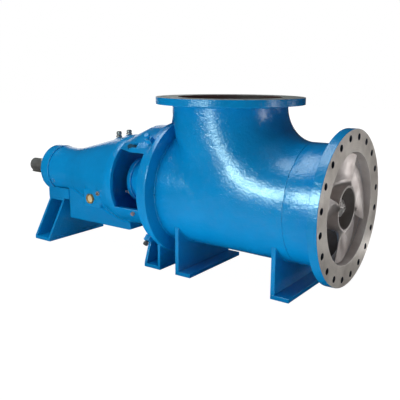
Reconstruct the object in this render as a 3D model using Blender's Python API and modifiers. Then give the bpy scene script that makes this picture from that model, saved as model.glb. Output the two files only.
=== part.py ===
"""Horizontal axial flow pump: bent casing, bearing frame, welded feet and one turning rotor.

Units are metres. +X runs along the shaft from the drive end to the suction flange, +Z is up.
The origin is on the floor, halfway between the shaft end and the suction face.
"""

import math

import bpy
import bmesh
from mathutils import Matrix

# Whole pump
LENGTH = 2.120                 # suction face to drive end of the shaft
AXIS_Z = 0.405                 # shaft centre above the floor
GAP = 0.0003                   # between touching pieces
ROUND = 48                     # sides of the large round pieces

# Casing
PIPE_R = 0.278                 # outside of barrel, elbow and neck
BORE_R = 0.250                 # inside of barrel, elbow and neck
BEND_R = 0.428                 # centre line of the elbow
NECK_BACK = 0.6316             # suction face to the centre of the discharge
BEND_STEPS = 12
BARREL_JOINT_BACK = 0.1900     # suction face to the weld between barrel and elbow
REAR_JOINT_BACK = 0.880        # suction face to the front of the rear flange

# Flanges
SUCTION_R = 0.34925
SUCTION_T = 0.0429
SUCTION_BOLT_R = 0.3150
SUCTION_HOLE_R = 0.0159
DISCHARGE_R = 0.3587
DISCHARGE_T = 0.033
DISCHARGE_FACE_Z = 0.871
DISCHARGE_BOLT_R = 0.3250
FLANGE_HOLES = 20
REAR_FLANGE_T = 0.031
RING_R = 0.332                 # ring at the front of the yoke
RING_T = 0.041
RING_BORE_R = 0.226

# Yoke and bearing frame, as distances behind the suction face
RING_BACK = REAR_JOINT_BACK + REAR_FLANGE_T + 2 * GAP
RING_END_BACK = RING_BACK + RING_T
ROOF_FLAT_BACK = 1.066
YOKE_BACK = 1.210              # rear end of the yoke windows
CUP_BACK = 1.270               # front wall of the bearing housing
CONE_FRONT_BACK = 1.250
CONE_REAR_BACK = 1.640
WAIST_BACK = 1.740
FRAME_END_BACK = 1.8315        # joint between housing and end cover
COVER_END_BACK = 1.900         # outer face of the end cover
YOKE_R = 0.248
ROOF_R = 0.309
CONE_REAR_R = 0.1436
WAIST_R = 0.1325
FRAME_END_R = 0.139
COVER_R = 0.141
COVER_EDGE = 0.006             # chamfer round the end cover
CHAMBER_R = 0.060              # round the shaft between its bearings
WALL_T = 0.022
WINDOW_TOP = 0.188             # above the axis
WINDOW_BOTTOM = -0.116         # below the axis

# Oil sump under the bearing housing, heights from the axis
SUMP_HALF_W = 0.100
SUMP_FLOOR = -0.275
SUMP_TOP = -0.080
SUMP_REAR_BACK = 1.700
FOOT_FLOOR = -0.163
FOOT_END_BACK = 1.876

# Rotor
SHAFT_R = 0.0405
SHAFT_FRONT_BACK = 0.060
SEAT_GAP = 0.0006              # round the turning shaft in its bearings
BEARING_SEAT = 0.050           # length of each bearing seat
HUB_R = 0.102
HUB_FRONT_BACK = 0.0155
HUB_TAPER_BACK = 0.165
HUB_REAR_BACK = 0.205
HUB_REAR_R = 0.062
CUP_DEPTH = 0.060              # hollow in the front of the hub
CUP_R = 0.092
CUP_FLOOR_R = 0.080
BLADES = 4
BLADE_ROOT_R = 0.094
BLADE_TIP_R = 0.243
BLADE_FRONT_BACK = 0.022
BLADE_T = 0.008
BLADE_TURN = 23.0              # degrees, from the top to the first leading edge
BLADE_SPAN = 104.0             # degrees that one blade runs round the shaft
ROOT_PITCH = 0.50              # advance in one turn, at the hub and at the tip
TIP_PITCH = 0.17
NUT_R = 0.045
NUT_FLAT = 0.012               # straight side of the nut, before its cone
NUT_TIP_R = 0.016
NUT_LENGTH = 0.030
KEY_LENGTH = 0.070
KEY_HALF_W = 0.011
KEY_LOW_R = 0.0325
KEY_TOP_R = 0.0495
KEY_TURN = 160.0               # degrees from the top, toward the near side

# Stuffing box
COVER_PLATE_R = 0.2494
COVER_PLATE_T = 0.025
BOX_R = 0.110
BOX_BORE_R = 0.060
GLAND_R = 0.120
GLAND_BORE_R = 0.0465
GLAND_T = 0.026

# Jacking lugs on the ring, in degrees from the top on each side
LUG_TURNS = (("upper", 42.5), ("lower", 133.0))
LUG_FRONT_BACK = 0.925
LUG_REAR_BACK = 0.958
LUG_HALF_W = 0.015
LUG_TOP_R = 0.364
SCREW_SHANK_R = 0.008
SCREW_SHANK = 0.008
SCREW_HEAD_R = 0.0139
SCREW_LENGTH = 0.021

# Caps: name, distance back, height of the seat above the axis, own height
CAPS = (("filler_cap", 1.371, 0.2225, 0.0332), ("breather_cap", 1.294, 0.2435, 0.0245))
CAP_BOSS_R = 0.020
BOSS_ROOT = 0.080              # how far a boss reaches into the housing
CAP_R = 0.0170
CAP_TOP_R = 0.0125

# Fittings on the near side: distance back, side position, height above the axis
PAD_FRONT_BACK = 1.330
PAD_REAR_BACK = 1.462
PAD_OUTLINE = ((-0.080, -0.034), (-0.182, -0.034), (-0.206, -0.058), (-0.206, -0.152), (-0.080, -0.152))
SIGHT = (1.400, -0.206, -0.100)
SIGHT_R = 0.029
SIGHT_BORE_R = 0.021
SIGHT_T = 0.012
LENS_T = 0.006
PLUG = (1.316, -0.230, -0.0570)
PLUG_BOSS_R = 0.019
PLUG_R = 0.012
PLUG_T = 0.010
DRAIN = (1.085, 123.0)         # distance back, then degrees from the top
DRAIN_R = 0.011
DRAIN_T = 0.014
POCKET = (1.078, 44.3)         # cast pocket in the roof, same order
POCKET_R = 0.3055
POCKET_LENGTH = 0.074
POCKET_HALF_W = 0.0145
POCKET_DEPTH = 0.017

# Feet, as distances behind the suction face
PLATE_T = 0.020
SADDLE_T = 0.021
WEB_T = 0.015
FRONT_FOOT = (0.1682, 0.2602, 0.226)
MIDDLE_FOOT = (0.7027, 0.7936, 0.229)
REAR_PEDESTAL = (0.897, 1.002, 0.2216)
REAR_PLATE_REACH = 0.153       # half width of the seat under the yoke
DRIVE_PEDESTAL = (1.745, 1.876, 0.2218)

FACE_X = LENGTH / 2

BLUE = (0.010, 0.235, 0.560)
STEEL = (0.560, 0.540, 0.500)


def back(distance):
    """World X of a station behind the suction face."""
    return FACE_X - distance


def clear_scene():
    for item in list(bpy.data.objects):
        bpy.data.objects.remove(item, do_unlink=True)


def new_collection(name):
    collection = bpy.data.collections.get(name) or bpy.data.collections.new(name)
    if collection.name not in bpy.context.scene.collection.children:
        bpy.context.scene.collection.children.link(collection)
    return collection


def material(name, colour, roughness, metallic=0.0):
    found = bpy.data.materials.get(name)
    if found:
        return found
    made = bpy.data.materials.new(name)
    made.use_nodes = True
    shader = made.node_tree.nodes["Principled BSDF"]
    shader.inputs["Base Color"].default_value = (*colour, 1.0)
    shader.inputs["Roughness"].default_value = roughness
    shader.inputs["Metallic"].default_value = metallic
    return made


def paint(name):
    return material(name + "_paint", BLUE, 0.35)


def steel(name):
    return material(name + "_steel", STEEL, 0.40, 1.0)


def place(name, data, finish, collection):
    item = bpy.data.objects.new(name, data)
    if finish:
        data.materials.append(finish)
    collection.objects.link(item)
    return item


def cutter(item):
    item.hide_render = True
    item.display_type = "WIRE"
    return item


def along_x(item, x=0.0, y=0.0, z=AXIS_Z):
    """Turn an object built round its own Z so that its Z points along world X."""
    item.matrix_world = Matrix.Translation((x, y, z)) @ Matrix.Rotation(math.pi / 2, 4, "Y")
    return item


def around(item, x, radius, degrees, tilt=0.0):
    """Stand an object on the shaft axis: its own Z points away from the axis, turned from the top."""
    turn = Matrix.Translation((0, 0, AXIS_Z)) @ Matrix.Rotation(math.radians(degrees), 4, "X")
    item.matrix_world = turn @ Matrix.Translation((x, 0, radius)) @ Matrix.Rotation(tilt, 4, "Y")
    return item


def facing_near(item, spot):
    """Turn an object's own Z toward the near side, at (distance back, y, height above the axis)."""
    item.matrix_world = (Matrix.Translation((back(spot[0]), spot[1], AXIS_Z + spot[2]))
                         @ Matrix.Rotation(math.pi / 2, 4, "X"))
    return item


def mesh_from(bm, name):
    data = bpy.data.meshes.new(name)
    bmesh.ops.recalc_face_normals(bm, faces=bm.faces)
    bm.to_mesh(data)
    bm.free()
    return data


def box(name, low, high, finish, collection):
    size = [b - a for a, b in zip(low, high)]
    middle = [(a + b) / 2 for a, b in zip(low, high)]
    bm = bmesh.new()
    bmesh.ops.create_cube(bm, size=1.0)
    bmesh.ops.scale(bm, vec=size, verts=bm.verts)
    item = place(name, mesh_from(bm, name), finish, collection)
    item.location = middle
    return item


def prism(name, outline, x_low, x_high, finish, collection):
    """Solid of one (y, height) outline, drawn out along X."""
    bm = bmesh.new()
    face = bm.faces.new([bm.verts.new((x_low, y, AXIS_Z + height)) for y, height in outline])
    made = bmesh.ops.extrude_face_region(bm, geom=[face])["geom"]
    moved = [part for part in made if isinstance(part, bmesh.types.BMVert)]
    bmesh.ops.translate(bm, vec=(x_high - x_low, 0, 0), verts=moved)
    return place(name, mesh_from(bm, name), finish, collection)


def rod(name, radius, length, finish, collection, sides=24):
    """Cylinder along its own Z, from 0 to length."""
    bm = bmesh.new()
    bmesh.ops.create_cone(bm, cap_ends=True, segments=sides, radius1=radius, radius2=radius, depth=length)
    bmesh.ops.translate(bm, vec=(0, 0, length / 2), verts=bm.verts)
    data = mesh_from(bm, name)
    data.shade_smooth()
    data.set_sharp_from_angle(angle=math.radians(40))
    return place(name, data, finish, collection)


def turned(name, profile, finish, collection, sides=ROUND):
    """Solid turned round X from (x, radius) points that run down the outer side, front to back."""
    data = bpy.data.meshes.new(name)
    points = [(radius, 0.0, x) for x, radius in profile]
    on_axis = profile[0][1] == 0 and profile[-1][1] == 0
    count = len(points)
    edges = [(i, i + 1) for i in range(count - 1)]
    if not on_axis:
        edges.append((count - 1, 0))
    data.from_pydata(points, edges, [])
    item = place(name, data, finish, collection)
    screw = item.modifiers.new("turn", "SCREW")
    screw.axis = "Z"
    screw.angle = 2 * math.pi
    screw.steps = sides
    screw.render_steps = sides
    screw.use_merge_vertices = True
    screw.merge_threshold = 0.00001
    screw.use_smooth_shade = True
    return along_x(item)


def spline(curve, points):
    line = curve.splines.new("POLY")
    line.points.add(len(points) - 1)
    for slot, point in zip(line.points, points):
        slot.co = (*point, 1.0)
    return line


def circle_points(radius, sides, centre=(0.0, 0.0), turn=0.0):
    out = []
    for i in range(sides):
        angle = turn + 2 * math.pi * i / sides
        out.append((centre[0] + radius * math.cos(angle), centre[1] + radius * math.sin(angle), 0.0))
    return out


def flat(name, outlines, thickness, finish, collection):
    """Plate from closed outlines in its own XY plane, centred on its own Z; inner outlines are holes."""
    curve = bpy.data.curves.new(name, "CURVE")
    curve.dimensions = "2D"
    curve.fill_mode = "BOTH"
    curve.extrude = thickness / 2
    for outline in outlines:
        line = spline(curve, outline)
        line.use_cyclic_u = True
    return place(name, curve, finish, collection)


def ring_outlines(outer, inner, bolt_radius, hole_radius, holes):
    lines = [circle_points(outer, 72), circle_points(inner, ROUND)]
    for i in range(holes):
        angle = math.pi * (2 * i + 1) / holes
        centre = (bolt_radius * math.cos(angle), bolt_radius * math.sin(angle))
        lines.append(circle_points(hole_radius, 10, centre))
    return lines


def bent_bar(name, radius, top_z, end_x, finish, collection):
    """Round bar that comes down from the discharge, bends and runs along the shaft axis."""
    neck_x = back(NECK_BACK)
    bend_z = AXIS_Z + BEND_R
    bend_x = neck_x + BEND_R
    bm = bmesh.new()
    start = Matrix.Translation((neck_x, 0, top_z))
    bmesh.ops.create_circle(bm, segments=ROUND, radius=radius, matrix=start)
    ring = pull(bm, bm.edges[:], (0, 0, bend_z - top_z))
    turn = bmesh.ops.spin(bm, geom=ring, cent=(bend_x, 0, bend_z), axis=(0, 1, 0),
                          angle=-math.pi / 2, steps=BEND_STEPS)
    edges = [part for part in turn["geom_last"] if isinstance(part, bmesh.types.BMEdge)]
    pull(bm, edges, (end_x - bend_x, 0, 0))
    bmesh.ops.holes_fill(bm, edges=bm.edges, sides=0)
    data = mesh_from(bm, name)
    data.shade_smooth()
    data.set_sharp_from_angle(angle=math.radians(40))
    return place(name, data, finish, collection)


def pull(bm, edges, step):
    """Draw a ring of edges out by a step and return the new ring."""
    made = bmesh.ops.extrude_edge_only(bm, edges=edges)["geom"]
    verts = [part for part in made if isinstance(part, bmesh.types.BMVert)]
    bmesh.ops.translate(bm, vec=step, verts=verts)
    rings = [part for part in made if isinstance(part, bmesh.types.BMEdge)]
    return verts + [edge for edge in rings if all(vert in verts for vert in edge.verts)]


def boolean(item, other, operation):
    step = item.modifiers.new(operation.lower(), "BOOLEAN")
    step.operation = operation
    step.solver = "EXACT"
    step.object = other
    return item


def build_casing(parts, cutters):
    """Straight barrel with the bent neck swept into it, and the short barrel welded on in front."""
    neck_top = DISCHARGE_FACE_Z - DISCHARGE_T - GAP
    joint_x = back(BARREL_JOINT_BACK)
    rear_x = back(REAR_JOINT_BACK)
    length = joint_x - rear_x
    reach = 0.10                # how far a cutter runs past the piece
    bent_bore = cutter(bent_bar("bent_bore", BORE_R, neck_top + reach, joint_x + reach, None, cutters))
    bore = rod("barrel_bore", BORE_R, length + 2 * reach, None, cutters, ROUND)
    cutter(along_x(bore, rear_x - reach))
    flange_room = rod("flange_room", SUCTION_R + GAP, reach, None, cutters, ROUND)
    cutter(along_x(flange_room, rear_x - reach))
    neck = cutter(bent_bar("neck_body", PIPE_R, neck_top, joint_x, None, cutters))
    body = along_x(rod("casing_body", PIPE_R, length, paint("casing_body"), parts, ROUND), rear_x)
    boolean(body, neck, "UNION")
    boolean(body, bent_bore, "DIFFERENCE")
    boolean(body, bore, "DIFFERENCE")
    boolean(body, flange_room, "DIFFERENCE")
    front_x = back(SUCTION_T) - GAP
    turned("suction_barrel",
           [(front_x, PIPE_R), (joint_x + GAP, PIPE_R), (joint_x + GAP, BORE_R), (front_x, BORE_R)],
           paint("suction_barrel"), parts)


def build_flanges(parts):
    suction = flat("suction_flange",
                   ring_outlines(SUCTION_R, BORE_R, SUCTION_BOLT_R, SUCTION_HOLE_R, FLANGE_HOLES),
                   SUCTION_T, steel("suction_flange"), parts)
    along_x(suction, back(SUCTION_T / 2))
    discharge = flat("discharge_flange",
                     ring_outlines(DISCHARGE_R, BORE_R, DISCHARGE_BOLT_R, SUCTION_HOLE_R, FLANGE_HOLES),
                     DISCHARGE_T, paint("discharge_flange"), parts)
    discharge.location = (back(NECK_BACK), 0.0, DISCHARGE_FACE_Z - DISCHARGE_T / 2)
    rear_x = back(REAR_JOINT_BACK) - GAP
    far_x = rear_x - REAR_FLANGE_T
    turned("rear_flange", [(rear_x, SUCTION_R), (far_x, SUCTION_R), (far_x, BORE_R), (rear_x, BORE_R)],
           paint("rear_flange"), parts)


def build_cover(parts):
    """Plate with the stuffing box that closes the rear of the casing, and the gland on it."""
    plate_x = back(RING_BACK - GAP)
    box_x = back(YOKE_BACK - GLAND_T)
    turned("stuffing_box_cover",
           [(plate_x + COVER_PLATE_T, COVER_PLATE_R), (plate_x, COVER_PLATE_R), (plate_x, BOX_R),
            (box_x, BOX_R), (box_x, BOX_BORE_R), (plate_x + COVER_PLATE_T, BOX_BORE_R)],
           paint("stuffing_box_cover"), parts)
    gland_x = box_x - GAP
    gland_end_x = gland_x - GLAND_T
    turned("gland_plate",
           [(gland_x, GLAND_R), (gland_end_x, GLAND_R), (gland_end_x, GLAND_BORE_R),
            (gland_x, GLAND_BORE_R)],
           paint("gland_plate"), parts)


def build_yoke(parts, cutters):
    ring_x = back(RING_BACK)
    ring_end_x = back(RING_END_BACK)
    turned("yoke_ring",
           [(ring_x, RING_R), (ring_end_x, RING_R), (ring_end_x, RING_BORE_R), (ring_x, RING_BORE_R)],
           paint("yoke_ring"), parts)
    arm_x = ring_end_x - GAP
    arm_end_x = back(YOKE_BACK) + GAP
    flat_x = back(ROOF_FLAT_BACK)
    roof = turned("yoke_roof",
                  [(arm_x, ROOF_R), (flat_x, ROOF_R), (arm_end_x, YOKE_R), (arm_end_x, YOKE_R - WALL_T),
                   (flat_x, ROOF_R - WALL_T), (arm_x, ROOF_R - WALL_T)],
                  paint("yoke_roof"), parts)
    floor = turned("yoke_floor",
                   [(arm_x, YOKE_R), (arm_end_x, YOKE_R), (arm_end_x, YOKE_R - WALL_T),
                    (arm_x, YOKE_R - WALL_T)],
                   paint("yoke_floor"), parts)
    reach = 0.5
    under = box("under_roof", (arm_end_x - reach, -reach, AXIS_Z - reach),
                (arm_x + reach, reach, AXIS_Z + WINDOW_TOP), None, cutters)
    over = box("over_floor", (arm_end_x - reach, -reach, AXIS_Z + WINDOW_BOTTOM),
               (arm_x + reach, reach, AXIS_Z + reach), None, cutters)
    boolean(roof, cutter(under), "DIFFERENCE")
    boolean(floor, cutter(over), "DIFFERENCE")
    tilt = -math.atan((ROOF_R - YOKE_R) / (YOKE_BACK - ROOF_FLAT_BACK)) / 2
    for side in (1, -1):
        hollow = box(f"pocket_cutter_{side}", (-POCKET_LENGTH / 2, -POCKET_HALF_W, -POCKET_DEPTH),
                     (POCKET_LENGTH / 2, POCKET_HALF_W, POCKET_DEPTH), None, cutters)
        around(hollow, back(POCKET[0]), POCKET_R, side * POCKET[1], tilt)
        boolean(roof, cutter(hollow), "DIFFERENCE")


def build_lugs(parts):
    """Blocks on the ring that hold the jacking screws, two on each side."""
    seat_r = RING_R + GAP
    x = back((LUG_FRONT_BACK + LUG_REAR_BACK) / 2)
    half_l = (LUG_REAR_BACK - LUG_FRONT_BACK) / 2
    half_h = (LUG_TOP_R - seat_r) / 2
    head = [(SCREW_LENGTH, 0), (SCREW_LENGTH, SCREW_HEAD_R), (SCREW_SHANK, SCREW_HEAD_R),
            (SCREW_SHANK, SCREW_SHANK_R), (0, SCREW_SHANK_R), (0, 0)]
    for level, degrees in LUG_TURNS:
        for side, sign in (("near", 1), ("far", -1)):
            name = f"jack_lug_{level}_{side}"
            corner = (half_l, LUG_HALF_W, half_h)
            lug = box(name, [-size for size in corner], corner, paint(name), parts)
            around(lug, x, seat_r + half_h, sign * degrees)
            name = f"jack_screw_{level}_{side}"
            screw = turned(name, head, steel(name), parts, 6)
            around(screw, x, LUG_TOP_R + GAP, sign * degrees)


def build_frame(parts, cutters):
    front_x = back(YOKE_BACK)
    end_x = back(FRAME_END_BACK)
    cup_x = back(CUP_BACK)
    seat_r = SHAFT_R + SEAT_GAP
    seat = BEARING_SEAT
    frame = turned("bearing_frame",
                   [(front_x, YOKE_R), (back(CONE_FRONT_BACK), YOKE_R), (back(CONE_REAR_BACK), CONE_REAR_R),
                    (back(CONE_REAR_BACK + 0.045), WAIST_R + 0.003), (back(WAIST_BACK), WAIST_R),
                    (back(WAIST_BACK + 0.050), WAIST_R + 0.002), (end_x, FRAME_END_R), (end_x, seat_r),
                    (end_x + seat, seat_r), (end_x + seat, CHAMBER_R), (cup_x - seat, CHAMBER_R),
                    (cup_x - seat, seat_r), (cup_x, seat_r), (cup_x, YOKE_R - WALL_T),
                    (front_x, YOKE_R - WALL_T)],
                   paint("bearing_frame"), parts)
    sump = box("sump_block", (back(SUMP_REAR_BACK), -SUMP_HALF_W, AXIS_Z + SUMP_FLOOR),
               (front_x - 0.001, SUMP_HALF_W, AXIS_Z + SUMP_TOP), None, cutters)
    cup = cutter(along_x(rod("frame_cup", YOKE_R - WALL_T, front_x - cup_x, None, cutters, ROUND), cup_x))
    boolean(frame, cutter(sump), "UNION")
    pad = prism("sight_pad", PAD_OUTLINE, back(PAD_REAR_BACK), back(PAD_FRONT_BACK), None, cutters)
    boolean(frame, cutter(pad), "UNION")
    plug_boss = rod("plug_boss", PLUG_BOSS_R, BOSS_ROOT, None, cutters)
    facing_near(plug_boss, (PLUG[0], PLUG[1] + BOSS_ROOT, PLUG[2]))
    boolean(frame, cutter(plug_boss), "UNION")
    for name, distance, seat, _height in CAPS:
        boss = rod(name + "_boss", CAP_BOSS_R, BOSS_ROOT, None, cutters)
        around(boss, back(distance), seat - BOSS_ROOT, 0)
        boolean(frame, cutter(boss), "UNION")
    boolean(frame, cup, "DIFFERENCE")
    cover_x = end_x - GAP
    cover_end_x = back(COVER_END_BACK)
    turned("end_cover",
           [(cover_x, COVER_R), (cover_end_x + COVER_EDGE, COVER_R), (cover_end_x, COVER_R - COVER_EDGE),
            (cover_end_x, seat_r), (cover_x, seat_r)],
           paint("end_cover"), parts)
    foot_top = math.sqrt((COVER_R + GAP) ** 2 - SUMP_HALF_W ** 2)
    outline = [(-SUMP_HALF_W, FOOT_FLOOR), (SUMP_HALF_W, FOOT_FLOOR)]
    outline += arc(COVER_R + GAP, SUMP_HALF_W, foot_top)
    foot_length = FOOT_END_BACK - SUMP_REAR_BACK - GAP
    foot = flat("frame_foot", [upright(outline)], foot_length, paint("frame_foot"), parts)
    along_x(foot, back(FOOT_END_BACK) + foot_length / 2)


def build_fittings(parts):
    """Caps, oil sight glass, plug and drain on the bearing housing and the yoke."""
    for name, distance, seat, height in CAPS:
        rim = height / 4
        cap = turned(name, [(height, 0), (height, CAP_TOP_R), (rim, CAP_R), (0, CAP_R), (0, 0)],
                     steel(name), parts, 24)
        around(cap, back(distance), seat + GAP, 0)
    sight = (SIGHT[0], SIGHT[1] - GAP, SIGHT[2])
    ring = turned("sight_glass_ring",
                  [(SIGHT_T, SIGHT_BORE_R), (SIGHT_T, SIGHT_R), (0, SIGHT_R), (0, SIGHT_BORE_R)],
                  steel("sight_glass_ring"), parts, 32)
    facing_near(ring, sight)
    lens = rod("sight_glass_lens", SIGHT_BORE_R - GAP, LENS_T, steel("sight_glass_lens"), parts, 32)
    facing_near(lens, sight)
    plug = rod("oil_plug", PLUG_R, PLUG_T, steel("oil_plug"), parts)
    facing_near(plug, (PLUG[0], PLUG[1] - GAP, PLUG[2]))
    drain = rod("drain_fitting", DRAIN_R, DRAIN_T, steel("drain_fitting"), parts)
    around(drain, back(DRAIN[0]), YOKE_R + GAP, DRAIN[1])


def upright(points):
    """Outline of (y, height) points, laid out for a plate that stands across the shaft axis."""
    return [(-height, y, 0.0) for y, height in points]


def arc(radius, half_width, drop):
    """Points under a round piece, from its +Y side to its -Y side, in line with its facets."""
    span = math.atan2(half_width, drop)
    facet = 2 * math.pi / ROUND
    count = int(span / facet)
    angles = [span] + [facet * i for i in range(count, -count - 1, -1)] + [-span]
    return [(radius * math.sin(angle), -radius * math.cos(angle)) for angle in angles]


def saddle(name, foot, thickness, radius, x, parts, top_half=None):
    """Upright plate across the axis that carries a round piece of the given radius."""
    half = foot[2]
    floor = -AXIS_Z + PLATE_T + GAP
    reach = top_half or half
    drop = math.sqrt(radius ** 2 - reach ** 2)
    outline = [(-half, floor), (half, floor)]
    outline += arc(radius, reach, drop)
    plate = flat(name, [upright(outline)], thickness, paint(name), parts)
    return along_x(plate, x)


def base_plate(name, foot, parts):
    front, rear, half = foot
    box(name, (back(rear), -half, 0), (back(front), half, PLATE_T), paint(name), parts)


def build_feet(parts):
    for name, foot in (("front_foot", FRONT_FOOT), ("middle_foot", MIDDLE_FOOT)):
        base_plate(name + "_base", foot, parts)
        saddle(name + "_saddle", foot, SADDLE_T, PIPE_R + GAP, back(foot[1]) + SADDLE_T / 2, parts)
    name = "rear_pedestal"
    front_x = back(REAR_PEDESTAL[0]) - WEB_T / 2
    rear_x = back(REAR_PEDESTAL[1]) + WEB_T / 2
    base_plate(name + "_base", REAR_PEDESTAL, parts)
    saddle(name + "_front_plate", REAR_PEDESTAL, WEB_T, SUCTION_R + GAP, front_x, parts)
    saddle(name + "_rear_plate", REAR_PEDESTAL, WEB_T, YOKE_R + GAP, rear_x, parts, REAR_PLATE_REACH)
    front, rear, half = DRIVE_PEDESTAL
    name = "drive_pedestal"
    base_plate(name + "_base", DRIVE_PEDESTAL, parts)
    top = FOOT_FLOOR - GAP
    box(name + "_top", (back(rear), -SUMP_HALF_W, AXIS_Z + top - WEB_T),
        (back(front), SUMP_HALF_W, AXIS_Z + top), paint(name + "_top"), parts)
    low = -AXIS_Z + PLATE_T + GAP
    high = top - WEB_T - GAP
    outline = upright([(-half, low), (half, low), (SUMP_HALF_W, high), (-SUMP_HALF_W, high)])
    for end, x in (("_front_plate", back(front) - WEB_T / 2), ("_rear_plate", back(rear) + WEB_T / 2)):
        along_x(flat(name + end, [outline], WEB_T, paint(name + end), parts), x)


def key_block(name, start_x, grow, finish, collection):
    """Block for the key, or a little larger for its seat in the shaft."""
    half_l = (back(LENGTH) + KEY_LENGTH + grow - start_x) / 2
    half_w = KEY_HALF_W + grow
    half_h = (KEY_TOP_R - KEY_LOW_R) / 2 + grow
    block = box(name, (-half_l, -half_w, -half_h), (half_l, half_w, half_h), finish, collection)
    return around(block, start_x + half_l, (KEY_LOW_R + KEY_TOP_R) / 2, KEY_TURN)


def build_rotor(parts, cutters):
    shaft_front = back(SHAFT_FRONT_BACK)
    shaft = rod("shaft", SHAFT_R, shaft_front - back(LENGTH), steel("shaft"), parts, 36)
    along_x(shaft, back(LENGTH))
    seat = cutter(key_block("key_seat", back(LENGTH) - KEY_LENGTH, GAP, None, cutters))
    boolean(shaft, seat, "DIFFERENCE")
    key_block("shaft_key", back(LENGTH), 0, steel("shaft_key"), parts)
    front_x = back(HUB_FRONT_BACK)
    floor_x = front_x - CUP_DEPTH
    hub = turned("impeller",
                 [(front_x, HUB_R), (back(HUB_TAPER_BACK), HUB_R), (back(HUB_REAR_BACK), HUB_REAR_R),
                  (back(HUB_REAR_BACK), SHAFT_R + GAP), (floor_x, SHAFT_R + GAP), (floor_x, CUP_FLOOR_R),
                  (front_x, CUP_R)],
                 steel("impeller"), parts, 36)
    nut_x = shaft_front + GAP
    nut_end_x = nut_x + NUT_LENGTH
    turned("impeller_nut",
           [(nut_end_x, 0), (nut_end_x, NUT_TIP_R), (nut_x + NUT_FLAT, NUT_R), (nut_x, NUT_R), (nut_x, 0)],
           steel("impeller_nut"), parts, 24)
    return hub


def build_blade(number, cutters):
    """One helical blade as an open sheet with thickness, from inside the hub to near the bore."""
    along, out = 13, 5
    bm = bmesh.new()
    bmesh.ops.create_grid(bm, x_segments=along, y_segments=out, size=0.5)
    for vert in bm.verts:
        outward = vert.co.y + 0.5
        sweep = (0.5 - vert.co.x) * BLADE_SPAN
        radius = BLADE_ROOT_R + outward * (BLADE_TIP_R - BLADE_ROOT_R)
        pitch = ROOT_PITCH + outward * (TIP_PITCH - ROOT_PITCH)
        x = back(BLADE_FRONT_BACK) - pitch * sweep / 360
        angle = math.radians(BLADE_TURN + 360 * number / BLADES - sweep)
        vert.co = (x, radius * math.sin(angle), AXIS_Z + radius * math.cos(angle))
    blade = place(f"blade_{number + 1}", mesh_from(bm, f"blade_{number + 1}"), None, cutters)
    thick = blade.modifiers.new("thickness", "SOLIDIFY")
    thick.thickness = BLADE_T
    thick.offset = 0
    return cutter(blade)


def main():
    clear_scene()
    parts = new_collection("axial_flow_pump")
    cutters = new_collection("cutters")
    build_casing(parts, cutters)
    build_flanges(parts)
    build_cover(parts)
    build_yoke(parts, cutters)
    build_frame(parts, cutters)
    build_feet(parts)
    build_lugs(parts)
    build_fittings(parts)
    impeller = build_rotor(parts, cutters)
    for number in range(BLADES):
        boolean(impeller, build_blade(number, cutters), "UNION")


main()
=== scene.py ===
import math

import bpy
import bmesh
import numpy as np
from mathutils import Matrix, Vector


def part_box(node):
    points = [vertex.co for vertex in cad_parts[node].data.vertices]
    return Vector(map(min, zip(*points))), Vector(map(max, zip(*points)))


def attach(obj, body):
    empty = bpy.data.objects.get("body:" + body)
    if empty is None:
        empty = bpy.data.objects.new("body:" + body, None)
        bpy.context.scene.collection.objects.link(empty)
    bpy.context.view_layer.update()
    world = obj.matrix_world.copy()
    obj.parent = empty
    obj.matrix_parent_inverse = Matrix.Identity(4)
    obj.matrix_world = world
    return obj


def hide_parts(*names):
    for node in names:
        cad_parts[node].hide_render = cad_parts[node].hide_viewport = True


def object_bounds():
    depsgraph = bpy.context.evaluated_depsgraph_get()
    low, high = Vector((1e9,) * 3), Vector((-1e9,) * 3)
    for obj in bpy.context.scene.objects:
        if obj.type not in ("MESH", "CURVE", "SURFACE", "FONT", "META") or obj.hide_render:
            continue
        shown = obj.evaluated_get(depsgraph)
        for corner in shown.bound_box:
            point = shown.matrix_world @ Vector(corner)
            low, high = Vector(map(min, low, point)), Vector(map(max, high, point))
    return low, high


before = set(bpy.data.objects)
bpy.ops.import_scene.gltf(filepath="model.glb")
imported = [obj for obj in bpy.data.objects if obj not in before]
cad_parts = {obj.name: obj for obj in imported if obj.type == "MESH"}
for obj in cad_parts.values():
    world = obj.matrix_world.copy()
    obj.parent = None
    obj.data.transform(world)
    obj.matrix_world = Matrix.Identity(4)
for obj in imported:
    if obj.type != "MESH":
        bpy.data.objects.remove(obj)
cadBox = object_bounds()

scene = bpy.context.scene
faceX = cadBox[1].x            # suction face
barrelLow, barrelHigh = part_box("suction_barrel")
axisZ = (barrelLow.z + barrelHigh.z) / 2


def back(distance):            # world X of a station behind the suction face
    return faceX - distance


def roundShaft(x, radius, angle):      # point round the shaft, turned from the top toward the near side
    return Vector((x, -radius * math.sin(angle), axisZ + radius * math.cos(angle)))


def onRing(distance, radius, degrees):
    return roundShaft(back(distance), radius, math.radians(degrees))


def outFrom(spot):             # arm from the shaft's centre line out to the spot
    return Vector((0, spot.y, spot.z - axisZ))


def offAxis(spot):
    return math.hypot(spot.y, spot.z - axisZ)


# Camera

cameraPlan = {
    "place": (1.9369, -2.3425, 0.9757),
    "yaw": 35.7234,            # degrees, turned left from a look along +Y
    "pitch": -12.444,
    "roll": 0.268,
    "lens": 51.29,
    "sensor": 36.0,
    "clip": (0.05, 100.0),
}


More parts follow.
